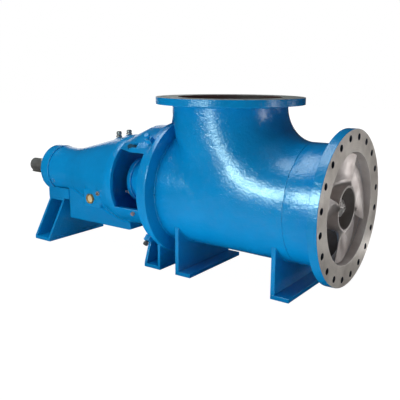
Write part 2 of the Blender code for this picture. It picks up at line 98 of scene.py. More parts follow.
def addCamera():
    yaw, pitch, roll = (math.radians(cameraPlan[key]) for key in ("yaw", "pitch", "roll"))
    ahead = Vector((-math.sin(yaw) * math.cos(pitch), math.cos(yaw) * math.cos(pitch), math.sin(pitch)))
    side = Vector((math.cos(yaw), math.sin(yaw), 0.0))
    up = side.cross(ahead)
    rolledSide = side * math.cos(roll) + up * math.sin(roll)
    rolledUp = up * math.cos(roll) - side * math.sin(roll)
    data = bpy.data.cameras.new("photoCamera")
    data.lens = cameraPlan["lens"]
    data.sensor_width = cameraPlan["sensor"]
    data.clip_start, data.clip_end = cameraPlan["clip"]
    item = bpy.data.objects.new("photoCamera", data)
    scene.collection.objects.link(item)
    turn = Matrix((rolledSide, rolledUp, -ahead)).transposed().to_4x4()
    item.matrix_world = Matrix.Translation(cameraPlan["place"]) @ turn
    scene.camera = item
    print("camera set")


# Shader nodes

def wire(tree, node, values):          # sets inputs to plain values or links other nodes' outputs to them
    for key, value in values.items():
        if isinstance(value, bpy.types.NodeSocket):
            tree.links.new(value, node.inputs[key])
        else:
            node.inputs[key].default_value = value


def addNode(tree, kind, values=None, **settings):
    node = tree.nodes.new(kind)
    for key, value in settings.items():
        setattr(node, key, value)
    wire(tree, node, values or {})
    return node


def maths(tree, operation, *values, clamp=False):
    node = addNode(tree, "ShaderNodeMath", dict(enumerate(values)), operation=operation, use_clamp=clamp)
    return node.outputs["Value"]


def vectorMaths(tree, operation, *values):
    return addNode(tree, "ShaderNodeVectorMath", dict(enumerate(values)), operation=operation)


def mapped(tree, value, low, high, toLow=0.0, toHigh=1.0):
    ends = {"From Min": low, "From Max": high, "To Min": toLow, "To Max": toHigh}
    return addNode(tree, "ShaderNodeMapRange", {"Value": value, **ends}).outputs["Result"]


def objectPlace(tree):
    return addNode(tree, "ShaderNodeTexCoord").outputs["Object"]


# Studio

white = (1.0, 1.0, 1.0, 1.0)
windowTint = (0.68, 1.0, 0.98)
studio = {
    "floorHalf": 14.0,
    "floorColour": 0.90,
    "floorInGloss": 0.02,      # how light the floor is in what the paint reflects
    "floorLift": 0.90,         # share of plain white that the camera sees in the floor near the pump
    "floorWhite": 1.10,
    "floorNear": 1.3,          # from here out to floorFar the floor turns plain white
    "floorFar": 3.2,
    "skySeen": 1.0,
    "skyInGloss": 0.02,
    "skyLight": 0.06,
    "lampTarget": (0.45, 0.0, 0.45),
}

# at: degrees from the near side toward the suction end, degrees up, metres from the target
# only: a lamp that shows in gloss alone, or one that lights surfaces and shows in no gloss
lamps = {
    "windowLow": {"at": (-4, 11, 3.6), "size": (0.80, 1.05), "power": 18, "colour": windowTint,
                  "only": "gloss"},
    "windowHigh": {"at": (-16.5, 19, 3.6), "size": (1.00, 1.05), "power": 56, "colour": windowTint,
                   "only": "gloss"},
    "windowRight": {"at": (97, 11, 4.0), "size": (0.5, 1.7), "power": 13},
    "ceiling": {"at": (-80, 64, 4.0), "size": (3.0, 2.3), "power": 70, "colour": (0.80, 0.95, 1.0)},
    "sideGlow": {"at": (128, -8, 1.9), "size": (1.1, 0.5), "power": 5, "target": (1.0, 0.0, 0.45),
                 "only": "gloss"},
    "bandGlow": {"at": (145, 7, 2.2), "size": (0.45, 0.25), "power": 1.2, "target": (1.0, 0.0, 0.30),
                 "only": "gloss"},
    "lowGlow": {"at": (161, -30, 0.8), "size": (0.30, 0.08), "power": 0.22, "target": (1.0, 0.0, 0.45),
                "only": "gloss"},
    "faceFill": {"at": (88, -20, 0.95), "size": (0.5, 0.20), "power": 1.1, "target": (1.0, 0.0, 0.45),
                 "only": "light"},
    "frontFill": {"at": (-8, -1, 4.5), "size": (3.0, 0.7), "power": 72, "only": "light"},
    "backFill": {"at": (190, 6, 4.5), "size": (3.0, 1.0), "power": 45, "only": "light"},
    "backdrop": {"at": (231, 8, 5.0), "size": (1.8, 1.4), "power": 8, "only": "gloss"},
    "topFill": {"at": (0, 80, 4.0), "size": (3.0, 3.0), "power": 46, "colour": (0.82, 0.94, 1.0),
                "only": "light"},
    "floorFill": {"at": (10, -89, 0.43), "size": (2.6, 1.0), "power": 7, "target": (-0.20, -0.95, 0.45),
                  "only": "light"},
}


def rayShare(tree, usual, inGloss, seen):      # a value for bounced light, for reflections and for the camera
    path = addNode(tree, "ShaderNodeLightPath")
    gloss = maths(tree, "MULTIPLY", path.outputs["Is Glossy Ray"], inGloss - usual)
    view = maths(tree, "MULTIPLY", path.outputs["Is Camera Ray"], seen - usual)
    return maths(tree, "ADD", maths(tree, "ADD", gloss, view), usual)


def addSky():
    world = bpy.data.worlds.new("studioWorld")
    scene.world = world
    world.use_nodes = True
    tree = world.node_tree
    tree.nodes.clear()
    strength = rayShare(tree, studio["skyLight"], studio["skyInGloss"], studio["skySeen"])
    sky = addNode(tree, "ShaderNodeBackground", {"Color": white, "Strength": strength})
    addNode(tree, "ShaderNodeOutputWorld", {"Surface": sky.outputs["Background"]})


def addFloor():
    half = studio["floorHalf"]
    mesh = bpy.data.meshes.new("studioFloor")
    corners = [(-half, -half, 0), (half, -half, 0), (half, half, 0), (-half, half, 0)]
    mesh.from_pydata(corners, [], [(0, 1, 2, 3)])
    floor = bpy.data.objects.new("studioFloor", mesh)
    scene.collection.objects.link(floor)
    finish = bpy.data.materials.new("floorFinish")
    finish.use_nodes = True
    tree = finish.node_tree
    tree.nodes.clear()
    grey = rayShare(tree, studio["floorColour"], studio["floorInGloss"], studio["floorColour"])
    matt = addNode(tree, "ShaderNodeBsdfDiffuse", {"Color": grey})
    glow = addNode(tree, "ShaderNodeEmission", {"Color": white, "Strength": studio["floorWhite"]})
    reach = vectorMaths(tree, "LENGTH", objectPlace(tree)).outputs["Value"]
    lift = mapped(tree, reach, studio["floorNear"], studio["floorFar"], studio["floorLift"], 1.0)
    share = maths(tree, "MULTIPLY", lift, rayShare(tree, 0.0, 0.0, 1.0))
    ends = {1: matt.outputs["BSDF"], 2: glow.outputs["Emission"]}
    mix = addNode(tree, "ShaderNodeMixShader", {"Fac": share, **ends})
    addNode(tree, "ShaderNodeOutputMaterial", {"Surface": mix.outputs["Shader"]})
    mesh.materials.append(finish)


def addLamps():
    for name, plan in lamps.items():
        data = bpy.data.lights.new(name, "AREA")
        data.shape = "RECTANGLE"
        data.size, data.size_y = plan["size"]
        data.energy = plan["power"]
        data.color = plan.get("colour", white[:3])
        azimuth, elevation = (math.radians(angle) for angle in plan["at"][:2])
        away = Vector((math.sin(azimuth) * math.cos(elevation), -math.cos(azimuth) * math.cos(elevation),
                       math.sin(elevation)))
        lamp = bpy.data.objects.new(name, data)
        lamp.rotation_mode = "QUATERNION"
        lamp.location = Vector(plan.get("target", studio["lampTarget"])) + away * plan["at"][2]
        lamp.rotation_quaternion = away.to_track_quat("Z", "Y")
        lamp.visible_camera = False
        lamp.visible_glossy = plan.get("only") != "light"
        lamp.visible_diffuse = plan.get("only") != "gloss"
        scene.collection.objects.link(lamp)


def addStudio():
    addSky()
    addFloor()
    addLamps()
    scene.view_settings.view_transform = "Standard"
    print("studio lit")


# Shared effects, each one node group

def newGroup(name, inputs, outputs):   # inputs with their usual values, outputs by name
    group = bpy.data.node_groups.new(name, "ShaderNodeTree")
    for label, value in inputs.items():
        kind = "NodeSocketVector" if isinstance(value, tuple) else "NodeSocketFloat"
        group.interface.new_socket(label, in_out="INPUT", socket_type=kind).default_value = value
    for label in outputs:
        group.interface.new_socket(label, in_out="OUTPUT", socket_type="NodeSocketFloat")
    return group, group.nodes.new("NodeGroupInput"), group.nodes.new("NodeGroupOutput")


skinPlan = {
    "detail": {"Stipple Size": 2.0, "Drag Size": 3.0, "Patch Size": 4.0},
    "roughness": 0.55, "stippleShare": 0.7, "dragShare": 0.9,
    "toneSpan": (0.32, 0.68), "glossSpan": (0.35, 0.65),
}


def makeSkinGroup():           # fine stipple of thick paint or of a casting
    plan = skinPlan
    group, gets, gives = newGroup(
        "surfaceSkin", {"Stipple Size": 130.0, "Drag Size": 34.0, "Patch Size": 4.0},
        ("Height", "Tone", "Gloss"))
    place = objectPlace(group)
    clouds = {}
    for label, detail in plan["detail"].items():
        cloud = addNode(group, "ShaderNodeTexNoise", {"Vector": place, "Scale": gets.outputs[label],
                                                      "Detail": detail, "Roughness": plan["roughness"]})
        clouds[label] = cloud.outputs["Fac"]
    stipple = maths(group, "MULTIPLY", clouds["Stipple Size"], plan["stippleShare"])
    drag = maths(group, "MULTIPLY", clouds["Drag Size"], plan["dragShare"])
    wire(group, gives, {
        "Height": maths(group, "ADD", stipple, drag),
        "Tone": mapped(group, clouds["Patch Size"], *plan["toneSpan"]),
        "Gloss": mapped(group, clouds["Drag Size"], *plan["glossSpan"]),
    })
    return group


edgePlan = {"samples": 4, "detail": 3.0, "bentSpan": (0.99, 0.86), "brokenSpan": (0.36, 0.62)}


def makeEdgeWearAndHighlightGroup():           # where a corner turns lighter: scuffed paint, and a painted highlight where a rounded edge would catch light
    plan = edgePlan
    group, gets, gives = newGroup("edgeWearAndHighlight", {"Reach": 0.004, "Breakup": 60.0}, ("Mask",))
    soft = addNode(group, "ShaderNodeBevel", {"Radius": gets.outputs["Reach"]}, samples=plan["samples"])
    flat = addNode(group, "ShaderNodeNewGeometry")
    likeness = vectorMaths(group, "DOT_PRODUCT", soft.outputs["Normal"], flat.outputs["Normal"])
    bent = mapped(group, likeness.outputs["Value"], *plan["bentSpan"])
    cloud = addNode(group, "ShaderNodeTexNoise", {
        "Vector": objectPlace(group), "Scale": gets.outputs["Breakup"], "Detail": plan["detail"]})
    broken = mapped(group, cloud.outputs["Fac"], *plan["brokenSpan"])
    wire(group, gives, {"Mask": maths(group, "MULTIPLY", bent, broken, clamp=True)})
    return group


lathePlan = {"detail": 3.0, "roughness": 0.7, "ringSpan": (0.35, 0.65), "roughSpan": (0.3, 0.7)}


def makeLatheGroup():          # rings that a lathe tool leaves round an axis
    plan = lathePlan
    group, gets, gives = newGroup(
        "latheMarks", {"Centre": (0.0, 0.0, 0.0), "Across": (0.0, 1.0, 1.0), "Pitch": 420.0}, ("Marks",))
    apart = vectorMaths(group, "SUBTRACT", objectPlace(group), gets.outputs["Centre"])
    flat = vectorMaths(group, "MULTIPLY", apart.outputs["Vector"], gets.outputs["Across"])
    radius = vectorMaths(group, "LENGTH", flat.outputs["Vector"]).outputs["Value"]
    rings = addNode(group, "ShaderNodeTexNoise", {
        "W": maths(group, "MULTIPLY", radius, gets.outputs["Pitch"]), "Scale": 1.0, "Detail": plan["detail"],
        "Roughness": plan["roughness"]}, noise_dimensions="1D")
    wire(group, gives, {"Marks": rings.outputs["Fac"]})
    return group


effects = {"skin": makeSkinGroup(), "edge": makeEdgeWearAndHighlightGroup(), "lathe": makeLatheGroup()}


def useGroup(tree, key, values):
    return addNode(tree, "ShaderNodeGroup", values, node_tree=effects[key])


# Finishes

def mixColour(tree, share, first, second):     # inputs 6 and 7 and output 2 are the Mix node's colours
    ends = [(*colour, 1.0) if isinstance(colour, tuple) else colour for colour in (first, second)]
    return addNode(tree, "ShaderNodeMix", {0: share, 6: ends[0], 7: ends[1]}, data_type="RGBA").outputs[2]


def startFinish(name, look):
    made = bpy.data.materials.new(name)
    made.use_nodes = True
    shader = made.node_tree.nodes["Principled BSDF"]
    plain = ("Metallic", "Coat Weight", "Coat Roughness", "IOR", "Specular IOR Level")
    wire(made.node_tree, shader, {socket: look[socket] for socket in plain if socket in look})
    return made, made.node_tree, shader


def endFinish(tree, shader, look, colour, roughness, height):
    bump = addNode(tree, "ShaderNodeBump", {
        "Strength": look["bump"], "Distance": look["depth"], "Height": height})
    wire(tree, shader, {"Base Color": colour, "Roughness": roughness, "Normal": bump.outputs["Normal"]})


def skinFinish(name, look):    # any finish whose colour drifts and whose surface is stippled
    made, tree, shader = startFinish(name, look)
    skin = useGroup(tree, "skin", look["skin"])
    colour = mixColour(tree, skin.outputs["Tone"], look["deep"], look["colour"])
    # the edge colour lightens the corners: scuffing and a painted highlight
    if "wornAndHighlight" in look:
        edge = useGroup(tree, "edge", look["edge"])
        share = maths(tree, "MULTIPLY", edge.outputs["Mask"], look["wornAndHighlightShare"])
        colour = mixColour(tree, share, colour, look["wornAndHighlight"])
    roughness = mapped(tree, skin.outputs["Gloss"], 0.0, 1.0, *look["rough"])
    endFinish(tree, shader, look, colour, roughness, skin.outputs["Height"])
    return made


def latheFinish(name, look):   # turned metal with rings round its axis
    made, tree, shader = startFinish(name, look)
    skin = useGroup(tree, "skin", look["skin"])
    marks = useGroup(tree, "lathe", look["lathe"]).outputs["Marks"]
    drift = mixColour(tree, skin.outputs["Tone"], look["deep"], look["colour"])
    rings = mapped(tree, marks, *lathePlan["ringSpan"], 0.0, look["ringShare"])
    colour = mixColour(tree, rings, drift, look["ring"])
    # the edge colour lightens the corners: scuffing and a painted highlight
    if "wornAndHighlight" in look:
        colour = mixColour(tree, useGroup(tree, "edge", look["edge"]).outputs["Mask"], colour, look["wornAndHighlight"])
    roughness = mapped(tree, marks, *lathePlan["roughSpan"], *look["rough"])
    height = maths(tree, "MULTIPLY_ADD", skin.outputs["Height"], look["stippleShare"], marks)
    endFinish(tree, shader, look, colour, roughness, height)
    return made


def grain(stipple, drag, patch):       # how many to a metre of each size of mark
    return {"Stipple Size": stipple, "Drag Size": drag, "Patch Size": patch}


def wearAndHighlight(reach, breakup):
    return {"Reach": reach, "Breakup": breakup}


blueLook = {
    "colour": (0.0012, 0.295, 0.675), "deep": (0.0006, 0.255, 0.595), "wornAndHighlight": (0.06, 0.40, 0.72),
    "wornAndHighlightShare": 0.45, "rough": (0.13, 0.24), "bump": 0.9, "depth": 0.0028, "Coat Weight": 0.45,
    "Coat Roughness": 0.15, "IOR": 1.5, "Specular IOR Level": 0.75, "skin": grain(100, 26, 4.5),
    "edge": wearAndHighlight(0.003, 55),
}
blueBoltLook = {**blueLook, "skin": grain(260, 90, 30), "depth": 0.0004, "edge": wearAndHighlight(0.0015, 120)}
rubbedAndHighlightLook = {                 # paint much lighter along its edges: scuffing and a broad painted highlight
    **blueLook, "wornAndHighlight": (0.30, 0.62, 0.84), "wornAndHighlightShare": 0.85, "edge": wearAndHighlight(0.0055, 60),
}
glandPaintedLightLook = {                  # paint inside the window, painted lighter because little light reaches it: painted light
    **rubbedAndHighlightLook, "colour": (0.003, 0.40, 0.88), "deep": (0.0015, 0.345, 0.78), "wornAndHighlight": (0.52, 0.80, 0.93),
}
primerLook = {
    "colour": (0.145, 0.052, 0.036), "deep": (0.095, 0.036, 0.028), "rough": (0.55, 0.72), "bump": 0.5,
    "depth": 0.0012, "skin": grain(120, 30, 6),
}
flangeFaceLook = {
    "colour": (0.86, 0.79, 0.72), "deep": (0.56, 0.50, 0.45), "ring": (0.40, 0.355, 0.32), "ringShare": 0.45,
    "rough": (0.34, 0.50), "bump": 0.35, "depth": 0.0006, "stippleShare": 0.35, "Metallic": 0.35,
    "skin": grain(95, 22, 9), "wornAndHighlight": (0.95, 0.93, 0.90), "edge": wearAndHighlight(0.006, 40),
    "lathe": {"Centre": (0.0, 0.0, axisZ), "Across": (0.0, 1.0, 1.0), "Pitch": 520.0},
}
dischargeFaceLook = {
    **flangeFaceLook, "colour": (0.47, 0.455, 0.415), "deep": (0.33, 0.32, 0.30),
    "lathe": {"Centre": (back(0.6316), 0.0, 0.0), "Across": (1.0, 1.0, 0.0), "Pitch": 480.0},
}
# walls of the bolt holes, near black: painted shade inside the holes
holeShadeLook = {
    "colour": (0.040, 0.046, 0.070), "deep": (0.020, 0.023, 0.036), "rough": (0.55, 0.75), "bump": 0.4,
    "depth": 0.0006, "skin": grain(160, 60, 30),
}
boreLook = {
    "colour": (0.84, 0.76, 0.72), "deep": (0.60, 0.515, 0.48), "wornAndHighlight": (0.95, 0.93, 0.90), "wornAndHighlightShare": 0.9,
    "rough": (0.34, 0.50), "bump": 0.35, "depth": 0.0007, "Metallic": 0.10, "skin": grain(110, 20, 8),
    "edge": wearAndHighlight(0.004, 40),
}
# dark brown primer inside the barrel behind its machined part; its darkness is partly painted shade deep in
# the bore
borePrimerAndShadeLook = {**primerLook, "colour": (0.130, 0.078, 0.068), "deep": (0.075, 0.046, 0.040)}
castLook = {
    "colour": (0.78, 0.725, 0.70), "deep": (0.52, 0.455, 0.43), "wornAndHighlight": (0.90, 0.88, 0.86), "wornAndHighlightShare": 0.6,
    "rough": (0.30, 0.46), "bump": 0.45, "depth": 0.001, "Metallic": 0.60, "skin": grain(120, 26, 7),
    "edge": wearAndHighlight(0.004, 45),
}
shaftLook = {
    "colour": (0.21, 0.20, 0.185), "deep": (0.060, 0.054, 0.048), "ring": (0.33, 0.315, 0.29),
    "ringShare": 0.5, "rough": (0.30, 0.48), "bump": 0.3, "depth": 0.0004, "stippleShare": 0.5,
    "Metallic": 0.30, "skin": grain(160, 50, 14),
    "lathe": {"Centre": (0.0, 0.0, axisZ), "Across": (1.0, 0.0, 0.0), "Pitch": 700.0},
}
chromeLook = {
    "colour": (0.52, 0.50, 0.48), "deep": (0.30, 0.28, 0.27), "wornAndHighlight": (0.80, 0.78, 0.76), "wornAndHighlightShare": 0.5,
    "rough": (0.16, 0.30), "bump": 0.2, "depth": 0.0004, "Metallic": 0.55, "skin": grain(260, 80, 30),
    "edge": wearAndHighlight(0.0015, 120),
}
brassLook = {
    "colour": (0.56, 0.39, 0.15), "deep": (0.33, 0.20, 0.075), "wornAndHighlight": (0.85, 0.69, 0.40), "wornAndHighlightShare": 0.6,
    "rough": (0.24, 0.40), "bump": 0.25, "depth": 0.0004, "Metallic": 0.5, "skin": grain(220, 70, 26),
    "edge": wearAndHighlight(0.0015, 120),
}
lensLook = {
    "colour": (0.87, 0.70, 0.42), "deep": (0.70, 0.49, 0.24), "rough": (0.12, 0.22), "bump": 0.15,
    "depth": 0.0004, "Coat Weight": 0.6, "skin": grain(160, 60, 38),
}
nutBrightLook = {**castLook, "colour": (0.86, 0.835, 0.81), "deep": (0.64, 0.60, 0.57), "rough": (0.22, 0.36)}
# the hollow of the hub: the impeller metal painted darker as painted shade in the recess, its edges lighter
hubCupShadeLook = {
    **castLook, "colour": (0.34, 0.305, 0.29), "deep": (0.17, 0.145, 0.135), "wornAndHighlight": (0.86, 0.84, 0.82),
    "wornAndHighlightShare": 0.9, "Metallic": 0.45,
}
# near black navy at the bottom of a lifting pocket: painted shade
slotShadeLook = {
    **holeShadeLook, "colour": (0.012, 0.075, 0.135), "deep": (0.006, 0.045, 0.085), "Specular IOR Level": 0.15,
}
nutLook = {**chromeLook, "colour": (0.86, 0.80, 0.76), "deep": (0.56, 0.50, 0.47), "Metallic": 0.10}
boltLook = {
    "colour": (0.16, 0.15, 0.15), "deep": (0.085, 0.08, 0.08), "wornAndHighlight": (0.42, 0.40, 0.38), "wornAndHighlightShare": 0.6,
    "rough": (0.34, 0.50), "bump": 0.3, "depth": 0.0004, "Metallic": 0.45, "skin": grain(240, 90, 30),
    "edge": wearAndHighlight(0.0015, 120),
}
drainLook = {**boltLook, "colour": (0.48, 0.34, 0.32), "deep": (0.30, 0.19, 0.175), "Metallic": 0.35}

finishes = {
    "blue": skinFinish("bluePaint", blueLook),
    "rubbedAndHighlight": skinFinish("rubbedPaintAndHighlight", rubbedAndHighlightLook),
    "gland": skinFinish("glandPaintedLight", glandPaintedLightLook),
    "primer": skinFinish("redPrimer", primerLook),
    "flangeFace": latheFinish("flangeFace", flangeFaceLook),
    "dischargeFace": latheFinish("dischargeFace", dischargeFaceLook),
    "holeWallShade": skinFinish("holeWallShade", holeShadeLook),
    "bore": skinFinish("boreSteel", boreLook),
    "boreDark": skinFinish("boreDark", borePrimerAndShadeLook),
    "nutBright": skinFinish("nutBright", nutBrightLook),
    "cup": skinFinish("hubCupPaintedShade", hubCupShadeLook),
    "slot": skinFinish("slotPaintedShade", slotShadeLook),
    "cast": skinFinish("impellerCast", castLook),
    "blueBolt": skinFinish("paintedBolt", blueBoltLook),
    "shaft": latheFinish("shaftSteel", shaftLook),
    "chrome": skinFinish("capMetal", chromeLook),
    "brass": skinFinish("sightBrass", brassLook),
    "lens": skinFinish("sightLens", lensLook),
    "bolt": skinFinish("boltSteel", boltLook),
    "drain": skinFinish("drainMetal", drainLook),
    "nut": skinFinish("nutSteel", nutLook),
}
print("finishes made:", len(finishes))


# Making and dressing meshes

weldGap = 0.000005             # verts nearer than this become one
roundAngle = 32                # edges that bend less than this are shaded smooth
cornerShare = 0.45             # most of a side that rounding its corner may take


def addPiece(name, mesh, body, finishKeys, stands=()):
    piece = bpy.data.objects.new(name, mesh)
    scene.collection.objects.link(piece)
    shares = np.zeros(len(mesh.polygons), dtype=np.int32)
    mesh.polygons.foreach_get("material_index", shares)
    mesh.materials.clear()
    for key in finishKeys:
        mesh.materials.append(finishes[key])
    mesh.polygons.foreach_set("material_index", np.minimum(shares, len(finishKeys) - 1))
    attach(piece, body)
    if stands:
        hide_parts(*stands)
    return piece


def addPainted(name, mesh, stands=(), finishKeys=("blue",)):
    return addPiece(name, mesh, "pump", finishKeys, stands)


def smoothByAngle(mesh, degrees):
    mesh.shade_smooth()
    mesh.set_sharp_from_angle(angle=math.radians(degrees))


def meshFrom(name, bm, smooth=roundAngle):
    bmesh.ops.recalc_face_normals(bm, faces=bm.faces)
    mesh = bpy.data.meshes.new(name)
    bm.to_mesh(mesh)
    bm.free()
    smoothByAngle(mesh, smooth)
    return mesh


def nodeMesh(nodeName):        # copy of a CAD node's mesh, free to take new normals
    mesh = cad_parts[nodeName].data.copy()
    if "custom_normal" in mesh.attributes:
        mesh.attributes.remove(mesh.attributes["custom_normal"])
    return mesh


def roundEdges(piece, width, segments=3, angle=roundAngle):
    step = piece.modifiers.new("edges", "BEVEL")
    step.width = width
    step.segments = segments
    step.limit_method = "ANGLE"
    step.angle_limit = math.radians(angle)
    step.harden_normals = True


def passing(name, mesh, modifiers):    # what these modifiers make of the mesh
    holder = bpy.data.objects.new(name, mesh)
    scene.collection.objects.link(holder)
    for kind, settings in modifiers:
        step = holder.modifiers.new(kind.lower(), kind)
        for key, value in settings.items():
            setattr(step, key, value)
    made = bpy.data.meshes.new_from_object(holder.evaluated_get(bpy.context.evaluated_depsgraph_get()))
    bpy.data.objects.remove(holder)
    made.name = name
    return made


def turns(count, shift=0.0):   # equal angles round a full turn
    return [2 * math.pi * (i + shift) / count for i in range(count)]


def polar(radius, angle, height=0.0):
    return Vector((radius * math.cos(angle), radius * math.sin(angle), height))


def sixSided(radius, angle):   # reach of a hexagon whose corners are this far out
    return radius * math.cos(math.pi / 6) / math.cos(angle % (math.pi / 3) - math.pi / 6)


def seated(spot, axis, up="Y"):
    return Matrix.Translation(spot) @ Vector(axis).to_track_quat("Z", up).to_matrix().to_4x4()


def standing(spot, axis, twist=0.0):   # places (height, radius, angle) on a seat that faces along the axis
    toWorld = seated(spot, axis) @ Matrix.Rotation(twist, 4, "Z")
    return lambda height, radius, angle: toWorld @ polar(radius, angle, height)


def stacked(bm, levels, steps, place):         # a ring of verts for each level of (height, radius, six-sided)
    return [[bm.verts.new(place(height, sixSided(radius, angle) if hexed else radius, angle))
             for angle in turns(steps)] for height, radius, hexed in levels]


def loft(bm, rings, looped=False, capped=True, finish=0):      # faces from each ring of verts to the next
    for low, high in zip(rings, rings[1:] + rings[:1] if looped else rings[1:]):
        for i in range(len(low)):
            j = (i + 1) % len(low)
            bm.faces.new((low[i], low[j], high[j], high[i])).material_index = finish
    if capped and not looped:
        bm.faces.new(rings[0][::-1])
        bm.faces.new(rings[-1])


def softened(outline, radius, steps=3):        # closed outline with every corner rounded off
    out = []
    for i, corner in enumerate(outline):
        here = Vector(corner)
        toLast = Vector(outline[i - 1]) - here
        toNext = Vector(outline[(i + 1) % len(outline)]) - here
        cut = min(radius, toLast.length * cornerShare, toNext.length * cornerShare)
        start = here + toLast.normalized() * cut
        end = here + toNext.normalized() * cut
        for step in range(steps + 1):
            t = step / steps
            out.append(tuple(start * (1 - t) ** 2 + here * 2 * t * (1 - t) + end * t ** 2))
    return out


def turnedMesh(name, outline, soft, place, steps, smooth=roundAngle):  # outline of (along, radius), turned
    points = softened(outline, soft)
    bm = bmesh.new()
    rings = [[bm.verts.new(place(along, radius, angle)) for along, radius in points]
             for angle in turns(steps)]
    loft(bm, rings, looped=True)
    bmesh.ops.remove_doubles(bm, verts=bm.verts, dist=weldGap)
    return meshFrom(name, bm, smooth)


# Plates and lugs, whose CAD shape is right but for its sharp edges

platePlan = {"edge": 0.0018, "segments": 2, "sharp": 30, "weld": 0.00002, "flat": 0.5}
plateNodes = {
    "front_foot_base": "frontFootPlate", "front_foot_saddle": "frontFootSaddle",
    "middle_foot_base": "middleFootPlate", "middle_foot_saddle": "middleFootSaddle",
    "rear_pedestal_base": "rearPedestalPlate", "rear_pedestal_front_plate": "rearPedestalFront",
    "rear_pedestal_rear_plate": "rearPedestalRear", "drive_pedestal_base": "drivePedestalPlate",
    "drive_pedestal_top": "drivePedestalTop", "drive_pedestal_front_plate": "drivePedestalFront",
    "drive_pedestal_rear_plate": "drivePedestalRear", "frame_foot": "bearingFrameFoot",
    "yoke_roof": "yokeRoof", "yoke_floor": "yokeFloor",
    "jack_lug_upper_near": "jackLugUpperNear", "jack_lug_upper_far": "jackLugUpperFar",
    "jack_lug_lower_near": "jackLugLowerNear", "jack_lug_lower_far": "jackLugLowerFar",
}
rubbedAndHighlightStarts = ("yoke_floor", "jack_lug")      # nodes whose paint is much lighter along the edges: scuffing and a painted highlight


def buildPlates():
    plan = platePlan
    for nodeName, pieceName in plateNodes.items():
        bm = bmesh.new()
        bm.from_mesh(nodeMesh(nodeName))
        bmesh.ops.remove_doubles(bm, verts=bm.verts, dist=plan["weld"])
        bmesh.ops.dissolve_limit(bm, angle_limit=math.radians(plan["flat"]), verts=bm.verts, edges=bm.edges)
        finish = "rubbedAndHighlight" if nodeName.startswith(rubbedAndHighlightStarts) else "blue"
        piece = addPainted(pieceName, meshFrom(pieceName, bm, plan["sharp"]), [nodeName], [finish])
        roundEdges(piece, plan["edge"], plan["segments"], plan["sharp"])
    print("painted plates:", len(plateNodes))


# Casing: one shell, with the bend blended into the straight barrel as a casting is

casingPlan = {
    "pipe": 0.278,             # outside radius of barrel, bend and neck
    "wall": 0.028,
    "bend": 0.428,             # centre line of the bend
    "neckBack": 0.6316,
    "jointBack": 0.1900,
    "rearBack": 0.880,
    "blend": 0.050,            # how wide the bend runs out into the barrel
    "leastBlend": 0.00001,
    "blendFade": 0.30,
    "voxel": 0.0085,
    "heldVoxels": 1.5,         # this near to its ends the block stays as the remesh left it
    "spare": 0.040,            # made longer than needed at each end, then trimmed
    "sides": 64,
    "bendSteps": 24,
    "settleRounds": 5,
    "nudge": 0.0004,           # step over which the field's slope is measured
    "leastSlope": 0.05,
    "cutGap": 0.0005,
    "rearRoom": 0.0003,        # how far the shell's rear rim stands outside the flange behind it
    "rearReach": 0.020,
    "smooth": 40,
}


def casingField(points):       # distance outside the blended skin of barrel and bend
    plan = casingPlan
    bendX, bendZ = back(plan["neckBack"]) + plan["bend"], axisZ + plan["bend"]
    x, y, z = points.T
    barrel = np.hypot(y, z - axisZ) - plan["pipe"]
    sweep = np.hypot(np.minimum(x - bendX, 0.0), np.minimum(z - bendZ, 0.0)) - plan["bend"]
    bend = np.hypot(sweep, y) - plan["pipe"]
    fade = np.clip((bendX - x) / plan["blendFade"], 0.0, 1.0)
    width = plan["blend"] * fade * fade * (3 - 2 * fade) + plan["leastBlend"]
    near = np.clip(width - np.abs(barrel - bend), 0.0, None) / width
    return np.minimum(barrel, bend) - near * near * width / 4


def ontoField(points, field):  # moves each point along the field's slope onto the skin
    nudge = casingPlan["nudge"]
    for _ in range(casingPlan["settleRounds"]):
        value = field(points)
        slope = np.empty_like(points)
        for axis in range(3):
            step = np.zeros(3)
            step[axis] = nudge
            slope[:, axis] = (field(points + step) - field(points - step)) / (2 * nudge)
        size = np.maximum((slope ** 2).sum(axis=1), casingPlan["leastSlope"])
        points = points - slope * (value / size)[:, None]
    return points


def addPipe(bm, stations):     # closed pipe through stations of (point, direction)
    radius = casingPlan["pipe"]
    across = Vector((0, 1, 0))
    rings = []
    for centre, heading in stations:
        up = across.cross(heading).normalized()
        rings.append([bm.verts.new(centre + across * radius * math.cos(angle) + up * radius * math.sin(angle))
                      for angle in turns(casingPlan["sides"])])
    loft(bm, rings)


def casingBlock(frontX, rearX, topZ):  # solid skin of barrel and bend, longer than the casing at each end
    plan = casingPlan
    spare, neckX, forward = plan["spare"], back(plan["neckBack"]), Vector((1, 0, 0))
    bendX, bendZ = neckX + plan["bend"], axisZ + plan["bend"]
    stations = [(Vector((neckX, 0, topZ + spare)), Vector((0, 0, -1)))]
    for step in range(plan["bendSteps"] + 1):
        angle = math.pi / 2 * step / plan["bendSteps"]
        spot = Vector((bendX - plan["bend"] * math.cos(angle), 0, bendZ - plan["bend"] * math.sin(angle)))
        stations.append((spot, Vector((math.sin(angle), 0, -math.cos(angle)))))
    stations.append((Vector((frontX + spare, 0, axisZ)), forward))
    bm = bmesh.new()
    addPipe(bm, stations)
    addPipe(bm, [(Vector((x, 0, axisZ)), forward) for x in (rearX - spare, frontX + spare)])
    skin = passing("casingBlock", meshFrom("casingPipes", bm), [
        ("REMESH", {"mode": "VOXEL", "voxel_size": plan["voxel"]})])
    flat = np.empty(len(skin.vertices) * 3)
    skin.vertices.foreach_get("co", flat)
    points = flat.reshape(-1, 3)
    room = spare - plan["voxel"] * plan["heldVoxels"]
    held = (points[:, 2] > topZ + room) | (points[:, 0] > frontX + room) | (points[:, 0] < rearX - room)
    settled = ontoField(points, casingField)
    settled[held] = points[held]
    skin.vertices.foreach_set("co", settled.ravel())
    skin.update()
    return skin


def cutAcross(bm, faces, spot, normal, clear):
    parts = dict.fromkeys(part for face in faces for part in (*face.verts, *face.edges))
    bmesh.ops.bisect_plane(bm, geom=[*parts, *faces], plane_co=spot, plane_no=normal,
                           dist=casingPlan["cutGap"], clear_outer=clear)


